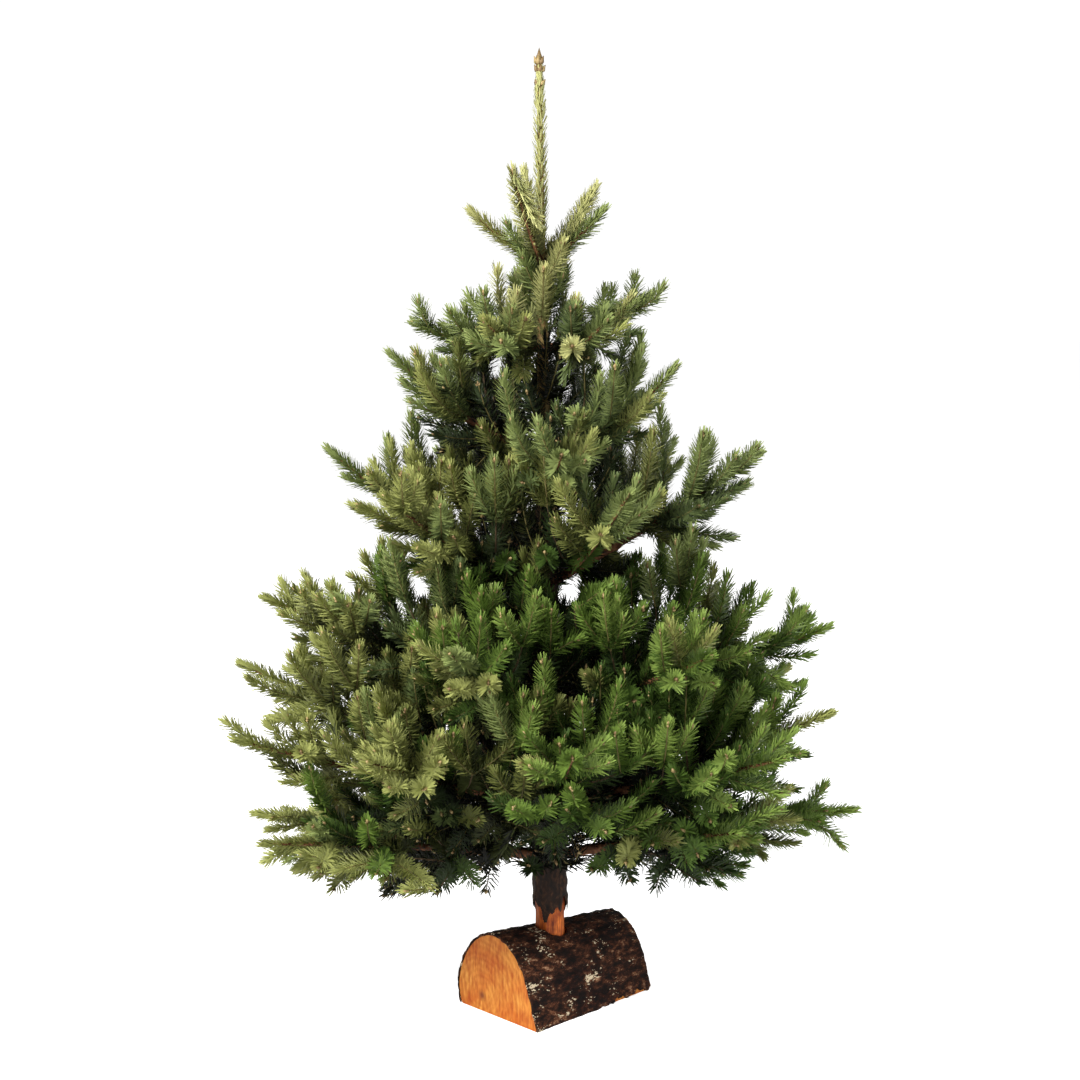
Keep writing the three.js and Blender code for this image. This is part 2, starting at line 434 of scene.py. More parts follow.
def around(azimuth):
    """The level direction of an azimuth."""
    return np.array([math.cos(azimuth), math.sin(azimuth), 0])


def turned(heading, angle, roll):
    """A heading turned away by an angle, towards a roll: 0 is up over it, 90 to its side."""
    side, over = across(heading)
    aside = math.sin(roll) * side + math.cos(roll) * over
    return unit(math.cos(angle) * heading + math.sin(angle) * aside)


INNER_TOP = heights["shoulder"] + 0.08
SKY_GAPS = (  # (x, z, radius) of the chinks of sky, seen from the front
    (0.036, 0.620, 0.020), (0.112, 0.690, 0.020), (-0.190, 0.628, 0.018), (0.060, 0.236, 0.018),
)
BARE_LIMB = ((0.0, 0.628), (0.15, 0.700))  # (x, z) of both ends of the limb that shows
BARE_LIMB_CLEARANCE = 0.035


def seen_from_front(point):
    """Where a point appears, seen from the front, on the upright plane through the stem."""
    nearer = CAMERA_PLACE[1] / (CAMERA_PLACE[1] - point[1])
    return (CAMERA_PLACE[0] + (point[0] - CAMERA_PLACE[0]) * nearer,
            CAMERA_PLACE[2] + (point[2] - CAMERA_PLACE[2]) * nearer)


def in_gap(point):
    """Whether a shoot ending here would close a gap, or hide the bare limb behind it."""
    x, z = seen_from_front(point)
    if any(math.hypot(x - gap_x, z - gap_z) < radius for gap_x, gap_z, radius in SKY_GAPS):
        return True
    share = (x - BARE_LIMB[0][0]) / (BARE_LIMB[1][0] - BARE_LIMB[0][0])
    limb_z = BARE_LIMB[0][1] + share * (BARE_LIMB[1][1] - BARE_LIMB[0][1])
    return 0 < share < 1 and abs(z - limb_z) < BARE_LIMB_CLEARANCE and point[1] < 0.0


def has_room(point):
    """Whether a shoot may end here: in a mass or close outside it, and more freely near the stem."""
    off = off_stem(point[None])[0]
    lowest = min(point[2], seen_from_front(point)[1])
    if in_gap(point) or lowest < CLEAR_FOOT - CLEAR_SLOPE * min(off, CLEAR_REACH):
        return False
    inner = max(0.0, 1 - off / INNER_REACH) * (point[2] < INNER_TOP)
    return depth_inside(point) > -STAND_OUT - INNER_FILL * inner


def add_shoot(start, heading, length, age, order, bough, spray, lift):
    """One year's shoot, bent by its lift. Where it has no room it grows flatter, then shorter."""
    for share, bent in ((1.0, 1.0), (1.0, 0.4), (0.8, 0.7), (0.75, 0.0)):
        end = start + length * share * unit(heading + bent * lift * UP)
        if has_room(end) and not in_gap((start + end) / 2):
            bend = start + 0.5 * length * share * unit(heading + 0.25 * bent * lift * UP)
            shoots.append(shoot_of(start, bend, end, age, order, bough, spray))
            return end, unit(end - 0.5 * (start + bend))
    return None


# %% Side shoots and their side shoots
LIFT = dict(zip(WHORLS, (0.1, 0.75, 0.8, 0.8, 0.62, 0.4, -0.2)))
STEM_BOUGH = -1  # marks what grows on the stem itself
DEEPEST_ORDER = 2
WEAKER = 0.92  # each year's growth of a side shoot, as a share of the last year's
UNFORKED = 0.75  # the share of the deepest side shoots that don't fork
TOPPED = 0.3  # the share of forks with a third shoot, on the upper side
FULL_NODE = 0.36  # the chance of each shoot over and under a limb's node
SIDE_ANGLE = math.radians(48)
sprays = 0


def lift_of(bough, order):
    base = 0.3 if bough == STEM_BOUGH else LIFT[boughs[bough]["whorl"]]
    return base * (0.5 + 0.35 * order) * rng.uniform(0.5, 1.5)


def grow(start, heading, length, years, order, bough, spray):
    """This year's shoot, then next year's: the shoot goes on, and side shoots fork from its end."""
    grown = add_shoot(start, heading, length, years - 1, order, bough, spray, lift_of(bough, order))
    if grown is None:
        return
    end, onward = grown
    if years > 1:
        bent = turned(onward, math.radians(rng.uniform(2, 9)), rng.uniform(0, 2 * math.pi))
        grow(end, bent, length * WEAKER, years - 1, order, bough, spray)
    if years == 1 or order > DEEPEST_ORDER or (order == DEEPEST_ORDER and rng.random() < UNFORKED):
        return
    for flank in (-1, 1):
        roll = flank * math.radians(rng.normal(80, 12))
        side = turned(onward, SIDE_ANGLE * rng.uniform(0.8, 1.15), roll)
        grow(end, side, length * rng.uniform(0.7, 0.86), years - 1, order + 1, bough, spray)
    if rng.random() < TOPPED:
        grow(end, turned(onward, SIDE_ANGLE, rng.normal(0, 0.4)), length * 0.75, min(years - 1, 2),
             order + 1, bough, spray)


# %% Whole boughs
def on_curve(start, bend, end, t):
    """The point at a share t of a curve, and the heading there."""
    point = (1 - t) ** 2 * start + 2 * t * (1 - t) * bend + t ** 2 * end
    return point, unit((1 - t) * (bend - start) + t * (end - bend))


def along(bough, share):
    return on_curve(bough["start"], bough["bend"], bough["end"], share)


def grow_bough(index):
    """The limb is one shoot for each year, with side shoots round every node."""
    global sprays
    bough = boughs[index]
    years = YEARS[bough["whorl"]]
    year = bough["length"] / years
    for k in range(years):
        high = (k + 1) / years
        low = min(max(k / years, bough["bare"]), high)
        start, heading = along(bough, low)
        middle, _ = along(bough, (low + high) / 2)
        end, onward = along(bough, high)
        left = years - 1 - k
        if high > bough["bare"] + 0.02:
            bend = 2 * middle - (start + end) / 2
            shoots.append(shoot_of(start, bend, end, left, 0, index, sprays))
        sprays += 1
        if left and high > bough["bare"]:
            for roll in (-90, 90, -40, 40, -140, 140):
                if abs(roll) == 90 or rng.random() < FULL_NODE:
                    turn = math.radians(roll + rng.normal(0, 12))
                    side = turned(onward, SIDE_ANGLE * rng.uniform(0.85, 1.2), turn)
                    vigour = 0.95 if abs(roll) == 90 else 0.8
                    grow(end, side, year * vigour * rng.uniform(0.9, 1.08), left, 1, index, sprays)
                    sprays += 1
        for _ in range(2 if years > 1 else 0):
            share = rng.uniform(max(k / years, 0.5 * bough["bare"]), high)
            foot, ahead = along(bough, share)
            side = turned(ahead, math.radians(rng.uniform(42, 65)), rng.uniform(-2.2, 2.2))
            grow(foot, side, year * rng.uniform(0.6, 0.85), min(2, left + 1), 2, index, sprays)
            sprays += 1


for number in range(len(boughs)):
    grow_bough(number)
print("shoots from the branching rule:", len(shoots))

# %% [markdown]
# ## Shoots on the stem
# Short shoots break from the stem between its whorls too. Low down they are two years old,
# fork, and hide the stem. Near the top they are single shoots that stand up along it.

# %% Shoots between the whorls
def grow_on_stem(low, high, count, shortest, longest, years, rise):
    """Shoots all round the stem between two heights. The rise is their slope."""
    global sprays
    for number in range(count):
        z = low + (high - low) * (number + rng.uniform(0.1, 0.9)) / count
        azimuth = number * 2.4 + rng.normal(0, 0.3)
        out = around(azimuth)
        foot = stem_axis(z) + out * stem_radius(z) * 0.6
        heading = unit(out + rise * rng.uniform(0.7, 1.3) * UP)
        grow(foot, heading, rng.uniform(shortest, longest), years, 1, STEM_BOUGH, sprays)
        sprays += 1


grow_on_stem(heights["lowest"] - 0.012, heights["lowest"] + 0.03, 12, 0.06, 0.09, 2, -0.12)
grow_on_stem(heights["lowest"] + 0.03, heights["skirt"], 10, 0.06, 0.085, 2, -0.1)
grow_on_stem(heights["skirt"] + 0.02, heights["waist"], 14, 0.07, 0.10, 2, 0.15)
grow_on_stem(heights["waist"] + 0.02, heights["middle"], 14, 0.07, 0.10, 2, 0.35)
grow_on_stem(heights["middle"] + 0.03, heights["shoulder"] - 0.02, 12, 0.07, 0.10, 2, 0.6)
grow_on_stem(heights["shoulder"] + 0.02, heights["upper"] - 0.04, 18, 0.07, 0.11, 1, 0.9)
grow_on_stem(heights["upper"] + 0.02, heights["top"] - 0.01, 14, 0.05, 0.09, 1, 1.0)
print("shoots from boughs and stem:", len(shoots))

# %% [markdown]
# ## Shoots that close the crown
# The rule leaves hollows that a real tree closes, because its twigs grow towards the light.
# Points are dealt over the masses' surfaces, and each one that no shoot has reached draws a
# new shoot from a twig near it.

# %% Points on the crown's surface
REACHED = {"upper": 0.034, "shoulder": 0.034}  # how near a shoot's end has to be to a point
REACHED_ELSEWHERE = 0.041
SPACING = 0.034
CLOSEST, FURTHEST = 0.06, 0.17
BEST_LENGTH = 0.1
DEAREST = 0.17  # the cost above which a hollow stays open


def surface_points(name):
    """Points dealt evenly over a mass's surface, with the surface's normal."""
    mesh = NODES[name].data
    corners = vertices_of(NODES[name])
    triangles = np.array([polygon.vertices[:] for polygon in mesh.polygons])
    a, b, c = (corners[triangles[:, i]] for i in range(3))
    normals = np.cross(b - a, c - a)
    areas = np.linalg.norm(normals, axis=1) / 2
    count = int(areas.sum() / SPACING ** 2)
    chosen = rng.choice(len(areas), count, p=areas / areas.sum())
    u, v = rng.random((2, count, 1))
    folded = u + v > 1
    u, v = np.where(folded, 1 - u, u), np.where(folded, 1 - v, v)
    return (1 - u - v) * a[chosen] + u * b[chosen] + v * c[chosen], unit(normals[chosen])


def close_hollows(index):
    bough = boughs[index]
    points, normals = surface_points(bough["name"])
    points = points - normals * rng.uniform(0.0, 0.02, (len(points), 1))
    mine = [s for s in shoots if s["bough"] == index]
    ends = np.array([s["end"] for s in mine])
    feet = np.concatenate([ends, [(s["start"] + s["end"]) / 2 for s in mine]])
    tags = [s["spray"] for s in mine] * 2
    out = unit((bough["end"] - bough["start"]) * np.array([1, 1, 0]))
    reached = REACHED.get(bough["whorl"], REACHED_ELSEWHERE)
    added = 0
    for point, normal in zip(points, normals):
        touching = abs(depth_inside(point + 0.012 * normal)) < 0.004  # another mass lies here
        if off_stem(point[None])[0] < 0.05 or touching or not has_room(point):
            continue
        if np.linalg.norm(ends - point, axis=1).min() < reached:
            continue
        ways = point - feet
        far = np.linalg.norm(ways, axis=1)
        wanted = unit(0.8 * out + 0.6 * normal + (0.25 + LIFT[bough["whorl"]]) * UP)
        cost = np.abs(far - BEST_LENGTH) + 0.09 * (1 - (ways / far[:, None]) @ wanted)
        cost[(far < CLOSEST) | (far > FURTHEST)] = np.inf
        best = int(cost.argmin())
        start, way = feet[best], unit(ways[best])
        if cost[best] > DEAREST or in_gap((start + point) / 2):
            continue
        bend = start + 0.5 * far[best] * unit(way - 0.22 * UP + 0.1 * out)
        shoots.append(shoot_of(start, bend, point, 0, DEEPEST_ORDER + 1, index, tags[best]))
        ends = np.vstack([ends, point])
        added += 1
    return added


closing = sum(close_hollows(number) for number in range(len(boughs)))
print("shoots that close the crown:", closing)
total = sum(np.linalg.norm(s["end"] - s["start"]) for s in shoots)
print("shoots in all:", len(shoots), "of", round(total, 1), "metres")

# %% [markdown]
# ## Light and shade inside the crown
# Needles are dense in the light and sparse in the shade, and their colours are painted light
# and shade: pale tints where a shoot is lit, dark ones where it is shaded. What stands above
# and outside of a shoot shades it, so its light share is its rank by the foliage there.

# %% Light share of each shoot
SHADE_REACH = 0.16


def light_shares():
    """0 for the most shaded shoot, 1 for the best lit one."""
    middles = np.array([(s["start"] + s["end"]) / 2 for s in shoots])
    spans = np.array([np.linalg.norm(s["end"] - s["start"]) for s in shoots])
    out = unit((middles - stem_axis(middles[:, 2])) * np.array([1, 1, 0]))
    toward = unit(0.9 * UP + out)
    shade = np.zeros(len(shoots))
    for number in range(len(shoots)):
        ways = middles - middles[number]
        far = np.linalg.norm(ways, axis=1)
        near = (far > 0.004) & (far < SHADE_REACH)
        ahead = np.maximum(ways[near] @ toward[number] / far[near], 0)
        shade[number] = (spans[near] * ahead * (1 - far[near] / SHADE_REACH)).sum()
    reach = np.hypot(*(middles - stem_axis(middles[:, 2]))[:, :2].T)
    shade *= 1 + 0.5 * (reach < 0.12)
    return 1 - shade.argsort().argsort() / (len(shoots) - 1)


for shoot, share in zip(shoots, light_shares()):
    shoot["light"] = float(share)

# %% [markdown]
# ## Needle colours
# The left side is more olive and grey, the top paler, the low right side the freshest green,
# and the low middle the deepest. Each spray is dealt one family of plain colours by its
# place. A family holds painted light and shade: lit, half lit, dim and dark copies of one
# colour, and each shoot of the spray takes one of them by its light share and its age.

# %% Needle materials
# Each family's four colours are painted light and shade: lit, half lit, dim and dark.
FAMILIES_BY_PAINTED_LIGHT = {
    "pale": ((172, 172, 112), (130, 134, 82), (74, 80, 48), (24, 28, 16)),
    "sage": ((130, 143, 84), (90, 104, 60), (48, 60, 34), (16, 21, 11)),
    "olive": ((146, 151, 86), (106, 112, 58), (58, 65, 32), (18, 22, 10)),
    "fresh": ((120, 142, 66), (78, 103, 41), (40, 58, 22), (13, 20, 8)),
    "deep": ((98, 122, 50), (60, 82, 30), (30, 44, 15), (10, 15, 6)),
}
NEEDLE_TINTS = {
    f"{family}_{level}": srgb(*colour)
    for family, levels in FAMILIES_BY_PAINTED_LIGHT.items()
    for level, colour in zip(("lit", "half", "dim", "dark"), levels)
}
TINT_NAMES = list(NEEDLE_TINTS)
PAINTED_LIGHT_LEVELS = 4
needle_materials = [
    plain_material("needle_" + name, colour, 0.55, 0.25) for name, colour in NEEDLE_TINTS.items()
]


def family_of(point, luck):
    """The colour family of a spray, by its place and its luck from 0 to 1."""
    stray = (7 * luck) % 1 - 0.5  # blurs the edges between the families
    height = (point[2] - heights["lowest"]) / (STEM_TOP - heights["lowest"])
    x = point[0] + 0.14 * stray
    if height > 0.62 + 0.25 * luck:
        return "pale"
    if height > 0.4 + 0.1 * stray:
        return "olive" if luck < 0.3 - 0.7 * x else "sage"
    if x < -0.1:
        return "olive" if luck < 0.25 - 2.0 * x else ("deep" if luck < 0.85 else "sage")
    if x < 0.1:
        return "deep" if luck < 0.72 else ("fresh" if luck < 0.9 else "olive")
    return "fresh" if luck < 0.7 else ("deep" if luck < 0.92 else "olive")


# The level paints light and shade by the shoot's light share, and older shoots step darker as well.
def level_of(shoot):
    score = shoot["light"] - 0.12 * min(shoot["age"], 3) + rng.normal(0, 0.07)
    return "lit" if score > 0.74 else "half" if score > 0.45 else "dim" if score > 0.2 else "dark"


spray_luck = {s["spray"]: rng.random() for s in shoots}
for shoot in shoots:
    family = family_of((shoot["start"] + shoot["end"]) / 2, spray_luck[shoot["spray"]])
    shoot["tint"] = TINT_NAMES.index(f"{family}_{level_of(shoot)}")
print("tints:", {name: sum(s["tint"] == i for s in shoots) for i, name in enumerate(TINT_NAMES)})

# %% [markdown]
# ## Needles
# A fir's needle is flat and blunt, up to 20 mm long, on a narrow foot. Three triangles give
# its outline: one for the foot and two for the blade, which bends a little. A spiral sets the
# needles round the shoot, combed away from below. Hundreds of thousands are needed, so they
# are laid out as arrays and joined at once.

# %% A joined mesh from arrays
def mesh_from_arrays(name, points, faces, slots, materials):
    mesh = bpy.data.meshes.new(name)
    mesh.vertices.add(len(points))
    mesh.vertices.foreach_set("co", np.ascontiguousarray(points, dtype=np.float32).ravel())
    mesh.loops.add(faces.size)
    mesh.loops.foreach_set("vertex_index", np.ascontiguousarray(faces, dtype=np.int32).ravel())
    mesh.polygons.add(len(faces))
    mesh.polygons.foreach_set("loop_start", np.arange(0, faces.size, faces.shape[1], dtype=np.int32))
    mesh.polygons.foreach_set("material_index", np.ascontiguousarray(slots, dtype=np.int32))
    for material in materials:
        mesh.materials.append(material)
    mesh.update(calc_edges=True)
    mesh.validate()
    obj = bpy.data.objects.new(name, mesh)
    bpy.context.scene.collection.objects.link(obj)
    return obj


def columns(group, key):
    return np.array([shoot[key] for shoot in group])


def curves_of(group):
    """The start, bend and end of many shoots, and their ages as places in lists by age."""
    start, bend, end = (columns(group, key) for key in ("start", "bend", "end"))
    return start, bend, end, np.minimum(columns(group, "age"), OLDEST)


# %% Needles on a group of shoots
OLDEST = 4  # from this age on, shoots are alike
NEEDLE_LENGTH, NEEDLE_WIDTH = 0.0200, 0.0026
NEEDLES_PER_METRE = (2500, 1700, 800, 400, 250)  # on shoots of each age, in full light
NEEDLE_BUDGET = 330_000
NEEDLE_FACES = 3
COMBED = 0.84  # the share of the circle round a shoot that bears needles
TWIG_RADIUS = (0.0011, 0.0016, 0.0021, 0.0026, 0.0031)  # by age
GOLDEN_TURN = math.pi * (3 - math.sqrt(5))


def needle_counts(group, density):
    """How many needles each shoot of a group bears, fewer in the shade."""
    start, _, end, ages = curves_of(group)
    spans = np.linalg.norm(end - start, axis=1)
    strong = np.where(columns(group, "order") == 0, 1.5, 1.0)
    shaded = 0.24 + 0.76 * ease(columns(group, "light"), 0.08, 0.55)
    return np.maximum((spans * np.array(density)[ages] * shaded * strong).astype(int), 3)


def needle_layout(group, density, length, lean, comb):
    """For every needle of a group: its foot, direction, outward side, length and tint.

    Needles near a young shoot's foot take the next darker tint of their family: painted shade."""
    start, bend, end, ages = curves_of(group)
    counts = needle_counts(group, density)
    owner = np.repeat(np.arange(len(group)), counts)
    place = np.arange(counts.sum()) - np.repeat(np.cumsum(counts) - counts, counts)
    t = (place + rng.random(len(owner))) / counts[owner]
    at = (0.03 + 0.96 * t)[:, None]
    points, heading = on_curve(start[owner], bend[owner], end[owner], at)
    side, over = across(heading)
    turn = (place * GOLDEN_TURN + rng.normal(0, 0.25, len(owner))) % (2 * math.pi) - math.pi
    turn = (turn * comb)[:, None]
    outward = np.sin(turn) * side + np.cos(turn) * over
    closing = ease(t, 0.72, 1.0)
    angle = (lean * (1 - 0.62 * closing) * rng.uniform(0.82, 1.12, len(owner)))[:, None]
    direction = unit(np.cos(angle) * heading + np.sin(angle) * outward + 0.06 * UP)
    feet = points + outward * (np.array(TWIG_RADIUS)[ages][owner] * 0.8)[:, None]
    swell = 0.74 + 0.26 * ease(t, 0.0, 0.25) - 0.16 * closing
    # painted shade: some needles near a young shoot's foot step one level darker
    shade = (rng.random(len(owner)) > 0.15 + 1.1 * t) & (ages[owner] == 0)
    slot = columns(group, "tint")[owner]
    slot = slot + (shade & (slot % PAINTED_LIGHT_LEVELS < PAINTED_LIGHT_LEVELS - 1))
    return feet, direction, outward, length * swell * rng.uniform(0.84, 1.1, len(owner)), slot


def needle_mesh(name, layouts):
    """Joins the needles of several layouts into one mesh of blunt blades."""
    corners, slots = [], []
    for feet, direction, outward, length, slot in layouts:
        width = unit(np.cross(direction, outward)) * (NEEDLE_WIDTH / 2)
        face = unit(np.cross(width, direction))
        reach = direction * length[:, None]
        shoulder = feet + 0.3 * reach + 0.03 * length[:, None] * face
        tip = feet + reach - 0.05 * length[:, None] * face
        corners.append(np.stack([
            feet, shoulder + width, tip + 0.45 * width, tip - 0.45 * width, shoulder - width,
        ], 1).reshape(-1, 3))
        slots.append(np.repeat(slot, NEEDLE_FACES))
    points = np.concatenate(corners)
    foot = np.arange(0, len(points), 5)[:, None]
    fan = np.array([[0, 1, 4], [1, 2, 3], [1, 3, 4]])
    faces = (foot[:, :, None] + fan[None]).reshape(-1, 3)
    return mesh_from_arrays(name, points, faces, np.concatenate(slots), needle_materials)


# %% Needles by whorl
LIMIT = 190_000  # triangles in one piece
LEAN = math.radians(62)
wished = needle_counts(shoots, NEEDLES_PER_METRE).sum()
thinning = min(1, NEEDLE_BUDGET / wished)
print("needles wished for:", wished, "thinned to a share of", round(thinning, 2))
ON_SHOOTS = {"density": tuple(n * thinning for n in NEEDLES_PER_METRE), "length": NEEDLE_LENGTH,
             "lean": LEAN, "comb": COMBED}


def whorl_of(shoot):
    """The whorl of a shoot's bough, or for a shoot on the stem the one nearest in height."""
    if shoot["bough"] != STEM_BOUGH:
        return boughs[shoot["bough"]]["whorl"]
    return min(WHORLS, key=lambda whorl: abs(heights[whorl] - shoot["start"][2]))


def stem_segment(low, high, age, tint):
    """A stretch of the stem, laid out as a shoot so that it can bear needles."""
    start, end = stem_axis(low), stem_axis(high)
    segment = shoot_of(start, (start + end) / 2, end, age, 0, STEM_BOUGH, -1)
    return {**segment, "light": 1.0, "tint": TINT_NAMES.index(tint)}


def add_needles():
    pieces = []
    for whorl in WHORLS:
        group = [shoot for shoot in shoots if whorl_of(shoot) == whorl]
        parts = math.ceil(NEEDLE_FACES * needle_counts(group, ON_SHOOTS["density"]).sum() / LIMIT)
        group.sort(key=lambda s: math.atan2(*((s["start"] + s["end"]) / 2)[:2]))
        for part in range(parts):
            share = group[part * len(group) // parts:(part + 1) * len(group) // parts]
            name = f"needles_{whorl}" + (f"_{part + 1}" if parts > 1 else "")
            piece = needle_mesh(name, [needle_layout(share, **ON_SHOOTS)])
            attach(piece, "root")
            pieces.append((piece, whorl))
            print(f"{name}: {len(piece.data.polygons)} triangles on {len(share)} shoots")
    return pieces


needle_pieces = add_needles()
for piece, whorl in needle_pieces:
    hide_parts(*solids_named("foliage_" + whorl))
print("needles:", sum(len(piece.data.polygons) for piece, _ in needle_pieces) // NEEDLE_FACES)

# %% Needles on the leader and the upper stem
# The tints are painted light levels of the pale family: lit on the leader, half lit below it.
STEM_STRETCHES = (  # from, to, age, tint, needles per metre by age, their length and lean
    (heights["top"] + 0.012, STEM_TOP - 0.03, 0, "pale_lit", (1300,), 0.015, 38),
    (heights["upper"] + 0.012, heights["top"] - 0.006, 1, "pale_half", (0, 1800), 0.016, 50),
)
stem_layouts = []
for low, high, age, tint, density, length, lean in STEM_STRETCHES:
    stretch = stem_segment(low, high, age, tint)
    layout = needle_layout([stretch], density, length, math.radians(lean), 1.0)
    layout[0][:] += layout[2] * (stem_radius(layout[0][:, 2]) - 0.001)[:, None]
    stem_layouts.append(layout)
stem_needles = needle_mesh("needles_stem", stem_layouts)
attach(stem_needles, "root")

# %% [markdown]
# ## Twigs
# A twig is a thin tapering tube of five sides along its shoot's curve. Young ones are pale
# and yellow-brown, older ones darker and rougher.

# %% Twigs
TWIG_SIDES, TWIG_RINGS = 5, 4
twig_young = plain_material("twig_young", srgb(104, 96, 56), 0.6, 0.3)
twig_old = plain_material("twig_old", srgb(72, 58, 40), 0.7, 0.25)


def twig_mesh(name, group):
    """Joins one tapering tube for each shoot, closed at its tip."""
    start, bend, end, ages = curves_of(group)
    thick = np.array(TWIG_RADIUS)[ages]
    thin = np.array(TWIG_RADIUS)[np.maximum(ages - 1, 0)] * np.where(ages == 0, 0.75, 1)
    rings = []
    for ring in range(TWIG_RINGS):
        share = ring / (TWIG_RINGS - 1)
        points, heading = on_curve(start, bend, end, share)
        side, over = across(heading)
        radius = thick + (thin - thick) * share
        for corner in range(TWIG_SIDES):
            angle = 2 * math.pi * corner / TWIG_SIDES
            rings.append(points + radius[:, None] * (math.cos(angle) * side + math.sin(angle) * over))
    rings.append(end + 0.001 * unit(end - bend))
    points = np.stack(rings, 1)
    faces = []
    for ring in range(TWIG_RINGS - 1):
        for corner in range(TWIG_SIDES):
            low = ring * TWIG_SIDES + corner
            beside = ring * TWIG_SIDES + (corner + 1) % TWIG_SIDES
            faces += [[low, low + TWIG_SIDES, beside], [beside, low + TWIG_SIDES, beside + TWIG_SIDES]]
    last = (TWIG_RINGS - 1) * TWIG_SIDES
    tip = TWIG_RINGS * TWIG_SIDES
    faces += [[last + c, tip, last + (c + 1) % TWIG_SIDES] for c in range(TWIG_SIDES)]
    faces = np.array(faces)
    offset = (np.arange(len(group)) * points.shape[1])[:, None, None]
    slots = np.repeat((ages > 0).astype(int), len(faces))
    return mesh_from_arrays(name, points.reshape(-1, 3), (offset + faces).reshape(-1, 3), slots,
                            [twig_young, twig_old])


side_shoots = [s for s in shoots if s["order"] > 0]
twigs = twig_mesh("twigs", side_shoots)
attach(twigs, "root")
print("twigs:", len(side_shoots), "triangles:", len(twigs.data.polygons))

# %% [markdown]
# ## Buds
# Every young shoot ends in a cluster of small brown buds: one on its tip, and two beside it.
# One bud is a pointed egg of a few faces, copied to each tip and turned along the shoot.

# %% Bud clusters
BUD_SIDES = 4
BUD_SHOULDER = 0.4  # where a bud is widest, as a share of its length
bud_light = plain_material("bud_light", srgb(158, 136, 92), 0.5, 0.4)
bud_dark = plain_material("bud_dark", srgb(120, 98, 64), 0.55, 0.4)


def bud_template():
    """A pointed egg of one ring, a tip and a foot, of radius 1 and length 1."""
    turns = [2 * math.pi * c / BUD_SIDES for c in range(BUD_SIDES)]
    ring = [(math.cos(turn), math.sin(turn), BUD_SHOULDER) for turn in turns]
    tip, foot = BUD_SIDES, BUD_SIDES + 1
    faces = [[c, (c + 1) % BUD_SIDES, tip] for c in range(BUD_SIDES)]
    faces += [[(c + 1) % BUD_SIDES, c, foot] for c in range(BUD_SIDES)]
    return np.array(ring + [(0, 0, 1), (0, 0, -0.1)]), np.array(faces)


def bud_mesh(name, feet, headings, sizes, slots):
    """One bud at each foot, along its heading. Sizes are (radius, length)."""
    corners, faces = bud_template()
    side, over = across(headings)
    frames = np.stack([side, over, headings], 1)
    scaled = corners[None] * np.stack([sizes[:, 0], sizes[:, 0], sizes[:, 1]], 1)[:, None]
    points = feet[:, None] + np.einsum("nck,nkj->ncj", scaled, frames)
    offset = (np.arange(len(feet)) * len(corners))[:, None, None]
    return mesh_from_arrays(name, points.reshape(-1, 3), (offset + faces).reshape(-1, 3),
                            np.repeat(slots, len(faces)), [bud_light, bud_dark])


def tip_buds():
    feet, headings, sizes = [], [], []
    for shoot in shoots:
        if shoot["age"] > 0:
            continue
        onward = unit(shoot["end"] - shoot["bend"])
        first = rng.uniform(0, 2 * math.pi)
        feet.append(shoot["end"] - 0.001 * onward)
        headings.append(onward)
        sizes.append((0.0027, 0.0085))
        for half in (0, math.pi):
            feet.append(shoot["end"] - 0.002 * onward)
            headings.append(turned(onward, 0.75, first + half))
            sizes.append((0.0021, 0.0065))
    return np.array(feet), np.array(headings), np.array(sizes) * rng.uniform(0.85, 1.2, (len(feet), 1))


def leader_buds():
    """The leader ends in one large bud with a ring of smaller ones pressed round it."""
    top = stem_axis(STEM_TOP - 0.024)
    feet, headings, sizes = [top], [UP], [(0.0052, 0.0235)]
    for ring, (drop, lean, count) in enumerate(((0.002, 0.42, 5), (0.012, 0.6, 5), (0.03, 0.7, 3))):
        for number in range(count):
            turn = 2 * math.pi * number / count + 0.5 * ring
            feet.append(stem_axis(top[2] - drop) + 0.002 * around(turn))
            headings.append(turned(UP, lean, turn))
            sizes.append((0.0043, 0.0155 - 0.0015 * ring))
    return np.array(feet), np.array(headings), np.array(sizes)


small, large = tip_buds(), leader_buds()
joined = [np.concatenate(pair) for pair in zip(small, large)]
buds = bud_mesh("buds", *joined, (rng.random(len(joined[0])) < 0.45).astype(int))
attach(buds, "root")
print("buds:", len(joined[0]), "triangles:", len(buds.data.polygons))

# %% [markdown]
# ## Limbs with bark
# One straight limb is modelled with its bark's relief, and copied for every bough: it is laid
# along the bough's curve and tapered. A ring swells where each year's growth began.

# %% The straight limb
LIMB_RINGS = 44
LIMB_LENGTH = 26.0  # in radii

bpy.ops.mesh.primitive_cylinder_add(vertices=12, radius=1, depth=LIMB_LENGTH, end_fill_type="TRIFAN")
limb_pattern = bpy.context.object
limb_pattern.name = "limb_pattern"
cut_long_edges(limb_pattern, LIMB_RINGS)
displace(limb_pattern, relief_texture("limb_bark", "CLOUDS", 0.55, noise_depth=3), 0.34)
displace(limb_pattern, relief_texture("limb_blisters", "VORONOI", 0.9), 0.2, 0.3)
print("limb pattern:", len(limb_pattern.data.polygons), "faces")

# %% Bark for the limbs
limb_bark = Pattern("limb_bark", 0.78)
limb_place = limb_bark.mapped()
limb_grain = limb_bark.noise(limb_place, 140, detail=5)
limb_blotch = limb_bark.noise(limb_place, 28, detail=3)
limb_colour = limb_bark.ramp(limb_grain, [
    (0.3, 62, 40, 28), (0.5, 122, 82, 56), (0.72, 160, 122, 88),
])
limb_colour = limb_bark.toned(limb_colour, limb_blotch,
                              [(0.35, 150, 118, 92), (0.65, 255, 250, 240)])
limb_bark_material = limb_bark.finish(limb_colour, limb_grain, 0.0012)

# %% A limb for each bough
pattern_points = vertices_of(limb_pattern)
pattern_faces = [tuple(polygon.vertices) for polygon in limb_pattern.data.polygons]


